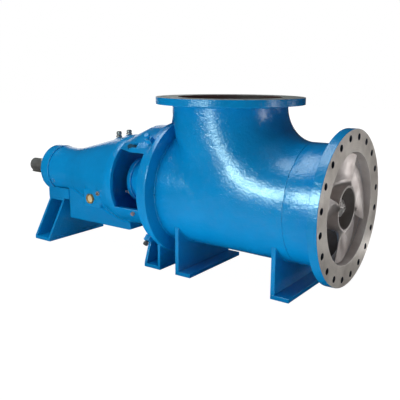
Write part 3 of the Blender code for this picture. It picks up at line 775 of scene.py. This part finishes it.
def buildCasing():
    plan = casingPlan
    frontX, rearX, topZ = back(plan["jointBack"]), back(plan["rearBack"]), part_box("casing_body")[1].z
    skin = casingBlock(frontX, rearX, topZ)
    bm = bmesh.new()
    bm.from_mesh(skin)
    cutAcross(bm, bm.faces[:], (frontX, 0, 0), (1, 0, 0), True)
    cutAcross(bm, bm.faces[:], (0, 0, topZ), (0, 0, 1), True)
    room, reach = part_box("rear_flange")[1].z - axisZ + plan["rearRoom"], plan["rearReach"]
    rear = [face for face in bm.faces
            if all(vert.co.x < rearX + reach and offAxis(vert.co) < room + reach for vert in face.verts)]
    cutAcross(bm, rear, (rearX, 0, 0), (-1, 0, 0), False)
    middles = {face: face.calc_center_median() for face in bm.faces}
    gone = [face for face, middle in middles.items() if middle.x < rearX and offAxis(middle) < room]
    bmesh.ops.delete(bm, geom=gone, context="FACES")
    for vert in bm.verts:
        if vert.is_boundary and vert.co.x < rearX - 2 * plan["cutGap"]:
            arm = outFrom(vert.co)
            vert.co += arm.normalized() * (room - arm.length)
    bmesh.ops.recalc_face_normals(bm, faces=bm.faces)
    bm.to_mesh(skin)
    bm.free()
    shell = passing("casingShell", skin, [("SOLIDIFY", {
        "thickness": plan["wall"], "offset": -1.0, "use_even_offset": False, "use_quality_normals": True,
        "material_offset": 1})])
    smoothByAngle(shell, plan["smooth"])
    addPainted("casingShell", shell, ["casing_body"], ["blue", "primer"])
    print("casing shell:", len(shell.polygons), "faces")


# Flanges with bolt holes

flangePlans = {                # finishes: back and rim, face, walls of the holes, bore
    "suctionFlange": {
        "node": "suction_flange", "outer": 0.34925, "bore": 0.250, "boltCircle": 0.3150, "hole": 0.0142,
        "holes": 20, "thick": 0.0429, "place": (back(0.0429), 0.0, axisZ), "axis": (1, 0, 0), "edge": 0.0022,
        "finishes": ["blue", "flangeFace", "holeWallShade", "bore"],
    },
    "dischargeFlange": {
        "node": "discharge_flange", "outer": 0.3587, "bore": 0.250, "boltCircle": 0.3250, "hole": 0.0142,
        "holes": 20, "thick": 0.0330, "place": (back(0.6316), 0.0, 0.8380), "axis": (0, 0, 1), "edge": 0.0022,
        "finishes": ["blue", "dischargeFace", "holeWallShade", "primer"],
    },
}


def buildFlange(name, plan, arcSteps=8, holeSides=24):         # a ring with its bolt holes, face by face
    toWorld = seated(plan["place"], plan["axis"], "X")
    holes, total = plan["holes"], plan["holes"] * arcSteps
    bm = bmesh.new()

    def ringOf(radius, height):
        return [bm.verts.new(toWorld @ polar(radius, angle, height)) for angle in turns(total, arcSteps / 2)]

    def holeOf(angle, height):
        out, along = polar(1.0, angle), polar(1.0, angle + math.pi / 2)
        middle, radius = polar(plan["boltCircle"], angle, height), plan["hole"]
        return [bm.verts.new(toWorld @ (middle + (out * math.cos(turn) + along * math.sin(turn)) * radius))
                for turn in turns(holeSides)]

    heights = (0.0, plan["thick"])
    rims = [ringOf(plan["outer"], height) for height in heights]
    bores = [ringOf(plan["bore"], height) for height in heights]
    drilled = [[holeOf(angle, height) for angle in turns(holes, 0.5)] for height in heights]
    half = holeSides // 2
    for side in (0, 1):        # back, then face, each drawn from hole to hole
        for i in range(holes):
            ahead, behind = drilled[side][(i + 1) % holes], drilled[side][i]
            arc = [(i * arcSteps + k) % total for k in range(arcSteps + 1)]
            loop = [rims[side][k] for k in arc] + [ahead[-k % holeSides] for k in range(half + 1)]
            loop += [bores[side][k] for k in reversed(arc)] + [behind[k] for k in range(half, -1, -1)]
            bm.faces.new(loop).material_index = side
    loft(bm, rims, capped=False)
    loft(bm, bores, capped=False, finish=3)
    for hole in zip(*drilled):
        loft(bm, hole, capped=False, finish=2)
    roundEdges(addPainted(name, meshFrom(name, bm), [plan["node"]], plan["finishes"]), plan["edge"])


# Pieces turned round the shaft

turnedSteps = 144
turnedPlans = {                # outlines as (back, radius), rounded off at every corner
    "suctionBarrel": {         # machined: ahead of this station its inside is bare metal
        "node": "suction_barrel", "finishes": ["blue", "boreDark", "bore"], "inside": 0.262, "soft": 0.0030,
        "machined": 0.094,
        "outline": [(0.0432, 0.278), (0.1897, 0.278), (0.1897, 0.250), (0.094, 0.250), (0.0432, 0.250)],
    },
    "rearFlange": {
        "node": "rear_flange", "finishes": ["blue", "primer"], "inside": 0.2515, "soft": 0.0025,
        "outline": [(0.8803, 0.34925), (0.9113, 0.34925), (0.9113, 0.250), (0.8803, 0.250)],
    },
    "yokeRing": {
        "node": "yoke_ring", "finishes": ["blue"], "soft": 0.0035,
        "outline": [(0.9116, 0.332), (0.9526, 0.332), (0.9526, 0.226), (0.9116, 0.226)],
    },
    # the cover and the gland plate inside the window take the gland paint, which is painted lighter as
    # painted light
    "stuffingBoxCover": {
        "node": "stuffing_box_cover", "finishes": ["gland"], "soft": 0.0040,
        "outline": [(0.8863, 0.2494), (0.9113, 0.2494), (0.9113, 0.128), (0.935, 0.110), (1.184, 0.110),
                    (1.184, 0.060), (0.8863, 0.060)],
    },
    "glandPlate": {
        "node": "gland_plate", "finishes": ["gland"], "soft": 0.0030,
        "outline": [(1.1843, 0.120), (1.2103, 0.120), (1.2103, 0.0465), (1.1843, 0.0465)],
    },
    "endCover": {
        "node": "end_cover", "finishes": ["rubbedAndHighlight"], "soft": 0.0012,
        "outline": [(1.8318, 0.141), (1.894, 0.141), (1.900, 0.135), (1.900, 0.074), (1.893, 0.068),
                    (1.893, 0.0411), (1.8318, 0.0411)],
    },
}


def fromShaft(outline):        # outline of (back, radius) as (x, radius)
    return [(back(distance), radius) for distance, radius in outline]


def buildTurned():
    for name, plan in turnedPlans.items():
        mesh = turnedMesh(name, fromShaft(plan["outline"]), plan["soft"], roundShaft, turnedSteps)
        for face in mesh.polygons:
            if offAxis(face.center) < plan.get("inside", 0.0):
                face.material_index = 2 if face.center.x > back(plan.get("machined", 0.0)) else 1
        addPainted(name, mesh, [plan["node"]], plan["finishes"])
    print("turned pieces:", len(turnedPlans))


# Bearing housing, its corners filled and rounded as cast

housingPlan = {
    "voxel": 0.0052,
    "smoothing": 24,
    "smoothShare": 0.5,
    "snap": {"front": 0.006, "rear": 0.004},   # verts this near a machined end lie in its plane
    "smooth": 60,
}


def buildHousing():
    plan = housingPlan
    low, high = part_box("bearing_frame")
    made = passing("bearingHousing", nodeMesh("bearing_frame"), [
        ("REMESH", {"mode": "VOXEL", "voxel_size": plan["voxel"]}),
        ("SMOOTH", {"factor": plan["smoothShare"], "iterations": plan["smoothing"]}),
    ])
    for vert in made.vertices:
        if vert.co.x > high.x - plan["snap"]["front"]:
            vert.co.x = high.x
        elif vert.co.x < low.x + plan["snap"]["rear"]:
            vert.co.x = low.x
    smoothByAngle(made, plan["smooth"])
    addPainted("bearingHousing", made, ["bearing_frame"])
    print("bearing housing:", len(made.polygons), "faces")


# Bolts and nuts

headShape = {                  # shares of a head's size, of its height and of its stud's length
    "steps": 24, "spin": 7,    # spin: how much faster than its place the head turns, so no two look alike
    "washer": 1.18, "washerHeight": 0.14, "shoulder": 0.82, "crown": 0.84,
    "stud": 0.52, "studShoulder": 0.9, "studTip": 0.44, "smooth": 25,
}
boltGroups = {                 # rings of heads: distance back, radius, first turn and step in degrees, count
    "endCoverBolts": {"back": 1.900, "radius": 0.1235, "first": 2, "step": 60, "count": 6,
                      "size": 0.0108, "height": 0.013, "finish": "nut"},
    "ringBolts": {"back": 0.9526, "radius": 0.293, "first": 66, "step": 12, "count": 20,
                  "size": 0.0135, "height": 0.010, "finish": "blueBolt"},
    "glandNuts": {"back": 1.2103, "radius": 0.100, "first": 128, "step": 180, "count": 2,
                  "size": 0.0140, "height": 0.018, "stud": 0.026, "finish": "nut"},
}
housingPlugPlan = {
    "back": 1.806, "radius": 0.1345, "turn": 114.0, "size": 0.0115, "height": 0.009, "twist": 0.3,
}


def hexHead(bm, spot, axis, plan, twist, washer=True):         # a head or nut standing on its seat
    shape, size, height, stud = headShape, plan["size"], plan["height"], plan.get("stud")
    plate = height * shape["washerHeight"] if washer else 0.0
    wide, thin = size * shape["washer"], size * shape["stud"]
    levels = [(0.0, wide, False), (plate, wide, False)] if washer else []
    levels += [(plate, size, True), (height * shape["shoulder"], size, True),
               (height, size * shape["crown"], False)]
    if stud:
        levels += [(height, thin, False), (height + stud * shape["studShoulder"], thin, False),
                   (height + stud, size * shape["studTip"], False)]
    loft(bm, stacked(bm, levels, shape["steps"], standing(spot, axis, twist)))


def buildBolts():
    for name, plan in boltGroups.items():
        bm = bmesh.new()
        for i in range(plan["count"]):
            turn = plan["first"] + plan["step"] * i
            hexHead(bm, onRing(plan["back"], plan["radius"], turn), (-1, 0, 0), plan,
                    math.radians(turn * headShape["spin"]))
        addPiece(name, meshFrom(name, bm, headShape["smooth"]), "pump",
                 [plan["finish"]])
    bm = bmesh.new()
    plan = housingPlugPlan
    spot = onRing(plan["back"], plan["radius"], plan["turn"])
    hexHead(bm, spot, outFrom(spot), plan, plan["twist"])
    # the plug's small head is lightened nearly all over by the edge colour: mostly painted highlight
    addPainted("housingPlug", meshFrom("housingPlug", bm, headShape["smooth"]), (), ["rubbedAndHighlight"])
    print("bolt groups:", len(boltGroups))


# Lifting pockets in the yoke roof, each with a dark sheet at its bottom: painted shade in the pocket

slotPlan = {
    "back": 1.078, "turn": 44.3, "radius": 0.2925, "length": 0.066, "width": 0.026, "deep": 0.0035,
    "lean": 11.5, "steps": 32, "straightShare": 0.7, "edge": 0.0012,
}


def buildSlots():
    plan = slotPlan
    for name, sign in (("liftSlotNear", 1), ("liftSlotFar", -1)):
        middle = onRing(plan["back"], plan["radius"], sign * plan["turn"])
        outward = outFrom(middle).normalized()
        lean = Matrix.Rotation(math.radians(plan["lean"]), 4, outward.cross((1, 0, 0)))
        outward = (lean @ outward).normalized()
        along = (lean @ Vector((1, 0, 0))).normalized()
        across = outward.cross(along)
        straight = (plan["length"] - plan["width"]) / 2
        bm = bmesh.new()
        rings = []
        for share, inset in ((0.0, 0.0), (plan["straightShare"], 0.0), (1.0, plan["edge"])):
            reach, height = plan["width"] / 2 - inset, plan["deep"] * share
            rings.append([bm.verts.new(
                middle + along * (math.copysign(straight, math.cos(angle)) + reach * math.cos(angle))
                + across * reach * math.sin(angle) + outward * height)
                for angle in turns(plan["steps"], 0.5)])
        loft(bm, rings)
        addPainted(name, meshFrom(name, bm), (), ["slot"])
    print("lifting slots filled")


# Weld beads

beadPlan = {
    "sides": 7, "ripple": 0.16, "pitch": 0.0065, "drift": 0.10, "driftWaves": (37.0, 91.0),
    "endShare": 0.35,          # how thick an open bead is at its ends
    "gap": 0.0022, "smooth": 60, "pipeLift": 0.001,
    "rings": {"suctionBead": (0.0445, 0.0060), "rearBead": (0.8790, 0.0055)},  # distance back, size
    "neck": {"height": 0.8372, "size": 0.0085, "spots": 760},
}
footBeads = {                  # distance back, radius of what it is laid on, half the width of the plate
    "frontFootFrontBead": (0.2392, casingPlan["pipe"], 0.2260),
    "frontFootRearBead": (0.2602, casingPlan["pipe"], 0.2260),
    "middleFootFrontBead": (0.7726, casingPlan["pipe"], 0.2290),
    "middleFootRearBead": (0.7936, casingPlan["pipe"], 0.2290),
    "rearPedestalFrontBead": (0.8970, 0.34925, 0.2216),
}
footBeadPlan = {"size": 0.0038, "lift": 0.0004, "short": 1.2}  # short: degrees left bare at each end


def weldBead(name, spots, size, closed=True):  # a rippled bead laid along the spots
    plan, count, travelled = beadPlan, len(spots), 0.0
    bm = bmesh.new()
    rings = []
    for i, spot in enumerate(spots):
        ahead = spots[(i + 1) % count] if closed or i + 1 < count else spot
        behind = spots[i - 1] if closed or i else spot
        if i:
            travelled += (spot - spots[i - 1]).length
        turn = (ahead - behind).normalized().to_track_quat("Z", "X")
        wave = math.sin(2 * math.pi * travelled / plan["pitch"])
        drift = math.prod(math.sin(travelled * rate) for rate in plan["driftWaves"])
        reach = size * (1 + plan["ripple"] * wave + plan["drift"] * drift)
        if not closed and i in (0, count - 1):
            reach *= plan["endShare"]
        rings.append([bm.verts.new(spot + turn @ polar(reach, angle)) for angle in turns(plan["sides"])])
    loft(bm, rings, looped=closed)
    addPainted(name, meshFrom(name, bm, plan["smooth"]))


def arcSpots(distance, radius, first, last):
    count = int(math.radians(last - first) * radius / beadPlan["gap"])
    steps = count if last - first >= 360 else count - 1
    return [onRing(distance, radius, first + (last - first) * i / steps) for i in range(count)]


def buildBeads():
    radius = casingPlan["pipe"] + beadPlan["pipeLift"]
    for name, (distance, size) in beadPlan["rings"].items():
        weldBead(name, arcSpots(distance, radius, 0.0, 360.0), size)
    neck = beadPlan["neck"]
    middle = Vector((back(casingPlan["neckBack"]), 0, neck["height"]))
    weldBead("dischargeBead", [middle + polar(radius, angle) for angle in turns(neck["spots"])], neck["size"])
    for name, (distance, seat, half) in footBeads.items():
        span = math.degrees(math.asin(half / seat)) - footBeadPlan["short"]
        weldBead(name, arcSpots(distance, seat + footBeadPlan["lift"], 180 - span, 180 + span),
                 footBeadPlan["size"], False)
    print("weld beads laid")


# Impeller

impellerPlan = {
    "blades": 4, "along": 56, "out": 16,
    "rootRadius": 0.0965, "tipRadius": 0.2432, "frontBack": 0.022,
    "rootThick": 0.0105, "tipThick": 0.0055, "nose": 0.010, "noseShare": 0.30,
    "fillet": 0.026, "filletShare": 0.8, "hub": 0.102, "cupRadius": 0.0935, "cupFront": 0.0185,
    "turn": 23.0, "span": 104.0, "rootPitch": 0.50, "tipPitch": 0.17,
    "edgeCrowd": 0.35,         # how far the rows of a blade crowd toward its two edges
    "rootCrowd": 1.25,
    "hubSoft": 0.0030, "hubSteps": 96, "bladeSmooth": 50, "smooth": 38,
    "hubOutline": [(0.0155, 0.102), (0.165, 0.102), (0.205, 0.062), (0.205, 0.0411), (0.0755, 0.0411),
                   (0.0755, 0.080), (0.0155, 0.092)],
}


def bladeSpot(number, share, outward):         # middle of the blade, share of its sweep and of its height
    plan = impellerPlan
    radius = plan["rootRadius"] + outward * (plan["tipRadius"] - plan["rootRadius"])
    sweep = share * plan["span"]
    pitch = plan["rootPitch"] + outward * (plan["tipPitch"] - plan["rootPitch"])
    angle = math.radians(plan["turn"] + 360 * number / plan["blades"] - sweep)
    return roundShaft(back(plan["frontBack"]) - pitch * sweep / 360, radius, -angle), radius


def bladeHalf(share, outward, radius):         # half its thickness, with a thin edge and a fillet at the hub
    plan = impellerPlan
    length = math.radians(plan["span"]) * radius
    nose = min(1.0, min(share, 1 - share) * length / plan["nose"])
    edge = plan["noseShare"] + (1 - plan["noseShare"]) * math.sqrt(1 - (1 - nose) ** 2)
    thick = plan["rootThick"] + outward * (plan["tipThick"] - plan["rootThick"])
    rise = max(0.0, 1 - max(0.0, radius - plan["hub"]) / plan["fillet"])
    grown = plan["fillet"] * (1 - math.sqrt(1 - rise ** 2)) * plan["filletShare"]
    return (thick / 2 + grown) * edge


def bladeMesh(number, step=0.002):     # one helical blade, thicker where it grows out of the hub
    plan = impellerPlan
    along, out, crowd = plan["along"], plan["out"], plan["edgeCrowd"]
    bm = bmesh.new()
    sheets = ([], [])
    for i in range(along + 1):
        share = i / along
        share = share * share * (3 - 2 * share) * crowd + share * (1 - crowd)
        rows = ([], [])
        for j in range(out + 1):
            outward = (j / out) ** plan["rootCrowd"]
            spot, radius = bladeSpot(number, share, outward)
            lengthwise = (bladeSpot(number, min(share + step, 1.0), outward)[0]
                          - bladeSpot(number, max(share - step, 0.0), outward)[0])
            across = (bladeSpot(number, share, min(outward + step, 1.0))[0]
                      - bladeSpot(number, share, max(outward - step, 0.0))[0])
            half = lengthwise.cross(across).normalized() * bladeHalf(share, outward, radius)
            for sign, row in zip((1, -1), rows):
                row.append(bm.verts.new(spot + half * sign))
        for sheet, row in zip(sheets, rows):
            sheet.append(row)
    for sheet in sheets:
        for i in range(along):
            for j in range(out):
                bm.faces.new((sheet[i][j], sheet[i + 1][j], sheet[i + 1][j + 1], sheet[i][j + 1]))
    first, second = sheets
    for i in range(along):
        for j in (0, out):
            bm.faces.new((first[i][j], first[i + 1][j], second[i + 1][j], second[i][j]))
    for j in range(out):
        for i in (0, along):
            bm.faces.new((first[i][j], first[i][j + 1], second[i][j + 1], second[i][j]))
    return meshFrom(f"blade{number + 1}", bm, plan["bladeSmooth"])


def buildImpeller():
    plan = impellerPlan
    hub = turnedMesh("hub", fromShaft(plan["hubOutline"]), plan["hubSoft"], roundShaft, plan["hubSteps"])
    holders = []
    for number in range(plan["blades"]):
        holder = bpy.data.objects.new(f"bladeHolder{number + 1}", bladeMesh(number))
        scene.collection.objects.link(holder)
        holders.append(holder)
    bpy.context.view_layer.update()
    joined = passing("impellerWheel", hub, [
        ("BOOLEAN", {"operation": "UNION", "solver": "EXACT", "object": holder}) for holder in holders])
    for holder in holders:
        bpy.data.objects.remove(holder)
    smoothByAngle(joined, plan["smooth"])
    for face in joined.polygons:       # the hollow of the hub is painted darker than the blades: painted shade in the recess
        if offAxis(face.center) < plan["cupRadius"] and face.center.x < back(plan["cupFront"]):
            face.material_index = 1
    addPiece("impellerWheel", joined, "rotor", ["cast", "cup"], ["impeller"])
    print("impeller:", len(joined.polygons), "faces")


# Small fittings

nearSide = (0, -1, 0)
fittingEdge = {"segments": 2, "angle": 25}
nutPlan = {
    "back": 0.0597, "turn": 12, "edge": 0.0012, "steps": 24, "smooth": 14,
    "levels": [                # height, radius, six-sided
        (0.0, 0.0450, True), (0.0120, 0.0450, True), (0.0300, 0.0160, True), (0.0300, 0.0085, False),
        (0.0220, 0.0080, False)],
}
sightPlan = {
    "back": 1.400, "side": -0.2063, "height": -0.100, "edge": 0.0007, "steps": 48, "smooth": 25,
    "ring": [(0.0, 0.0290, True), (0.0095, 0.0290, True), (0.0118, 0.0258, False), (0.0118, 0.0225, False),
             (0.0100, 0.0212, False), (0.0, 0.0212, False)],
    "lens": [(0.0, 0.0), (0.0, 0.0205), (0.0050, 0.0205), (0.0068, 0.013), (0.0074, 0.0)],
    "lensSoft": 0.0015, "lensSmooth": 30,
}
oilPlugPlan = {
    "back": 1.316, "side": -0.2303, "height": -0.0570, "soft": 0.0006, "steps": 36, "smooth": 30,
    "hollow": 0.0075,          # this near its seat's middle it shows old red paint
    "outline": [(0.0, 0.0), (0.0, 0.012), (0.0085, 0.012), (0.0100, 0.0105), (0.0100, 0.0060),
                (0.0050, 0.0055), (0.0050, 0.0)],
}
drainPlan = {"back": 1.085, "turn": 123.0, "radius": 0.2483, "size": 0.0108, "height": 0.0135, "twist": 0.4}
capPlan = {
    "soft": 0.0012, "steps": 48, "smooth": 30, "darkTop": 0.90,
    "outline": [(0.0, 0.0), (0.0, 0.0168), (0.24, 0.0168), (0.30, 0.0120), (0.40, 0.0120), (0.46, 0.0150),
                (0.88, 0.0142), (1.0, 0.0108), (1.0, 0.0)],    # share of the height, radius
    "caps": {                  # name, distance back, height of the seat above the shaft, height of the cap
        "filler_cap": ("fillerCap", 1.371, 0.2228, 0.0332),
        "breather_cap": ("breatherCap", 1.294, 0.2438, 0.0245),
    },
}


def sideSeat(plan):            # seat on the near side, from its distance back and its height above the shaft
    return Vector((back(plan["back"]), plan["side"], axisZ + plan["height"]))


def buildNut():
    plan = nutPlan
    seatX, turn = back(plan["back"]), math.radians(plan["turn"])
    bm = bmesh.new()
    loft(bm, stacked(bm, plan["levels"], plan["steps"],
                     lambda height, radius, angle: roundShaft(seatX + height, radius, angle + turn)))
    nut = addPiece("impellerNut", meshFrom("impellerNut", bm, plan["smooth"]), "rotor",
                   ["nutBright"], ["impeller_nut"])
    roundEdges(nut, plan["edge"], **fittingEdge)


def buildSight():
    plan = sightPlan
    seat = sideSeat(plan)
    bm = bmesh.new()
    loft(bm, stacked(bm, plan["ring"], plan["steps"], lambda height, radius, angle: seat + Vector(
        (radius * math.cos(angle), -height, radius * math.sin(angle)))), looped=True)
    ring = addPiece("sightRing", meshFrom("sightRing", bm, plan["smooth"]), "pump",
                    ["brass"], ["sight_glass_ring"])
    roundEdges(ring, plan["edge"], **fittingEdge)
    lens = turnedMesh("sightLens", plan["lens"], plan["lensSoft"], standing(seat, nearSide), plan["steps"],
                      plan["lensSmooth"])
    addPiece("sightLens", lens, "pump", ["lens"], ["sight_glass_lens"])


def buildOilPlug():
    plan = oilPlugPlan
    seat = sideSeat(plan)
    plug = turnedMesh("oilPlug", plan["outline"], plan["soft"], standing(seat, nearSide), plan["steps"],
                      plan["smooth"])
    for face in plug.polygons:
        face.material_index = int((face.center - seat).length < plan["hollow"])
    addPiece("oilPlug", plug, "pump", ["chrome", "primer"], ["oil_plug"])


def buildDrain():
    plan = drainPlan
    spot = onRing(plan["back"], plan["radius"], plan["turn"])
    bm = bmesh.new()
    hexHead(bm, spot, outFrom(spot), plan, plan["twist"], washer=False)
    addPiece("drainPlug", meshFrom("drainPlug", bm, headShape["smooth"]), "pump", ["drain"],
             ["drain_fitting"])


def buildCaps():
    plan = capPlan
    for node, (name, distance, seatRadius, height) in plan["caps"].items():
        spot = onRing(distance, seatRadius, 0)
        outline = [(share * height, radius) for share, radius in plan["outline"]]
        cap = turnedMesh(name, outline, plan["soft"], standing(spot, (0, 0, 1)), plan["steps"],
                         plan["smooth"])
        for face in cap.polygons:
            face.material_index = int(face.center.z > spot.z + height * plan["darkTop"])
        addPiece(name, cap, "pump", ["chrome", "bolt"], [node])


# CAD nodes that stay, with a better finish

keptNodes = {
    "shaft": "shaft", "shaft_key": "shaft",
    "jack_screw_upper_near": "blueBolt", "jack_screw_upper_far": "blueBolt",
    "jack_screw_lower_near": "bolt", "jack_screw_lower_far": "bolt",
}


def finishKeptNodes():
    for nodeName, finishKey in keptNodes.items():
        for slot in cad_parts[nodeName].material_slots:
            slot.material = finishes[finishKey]
    print("kept nodes finished:", len(keptNodes))


addCamera()
addStudio()
buildPlates()
buildCasing()
for name, plan in flangePlans.items():
    buildFlange(name, plan)
print("flanges made:", len(flangePlans))
buildTurned()
buildHousing()
buildBolts()
buildSlots()
buildBeads()
buildImpeller()
for build in (buildNut, buildSight, buildOilPlug, buildDrain, buildCaps):
    build()
print("fittings made")
finishKeptNodes()
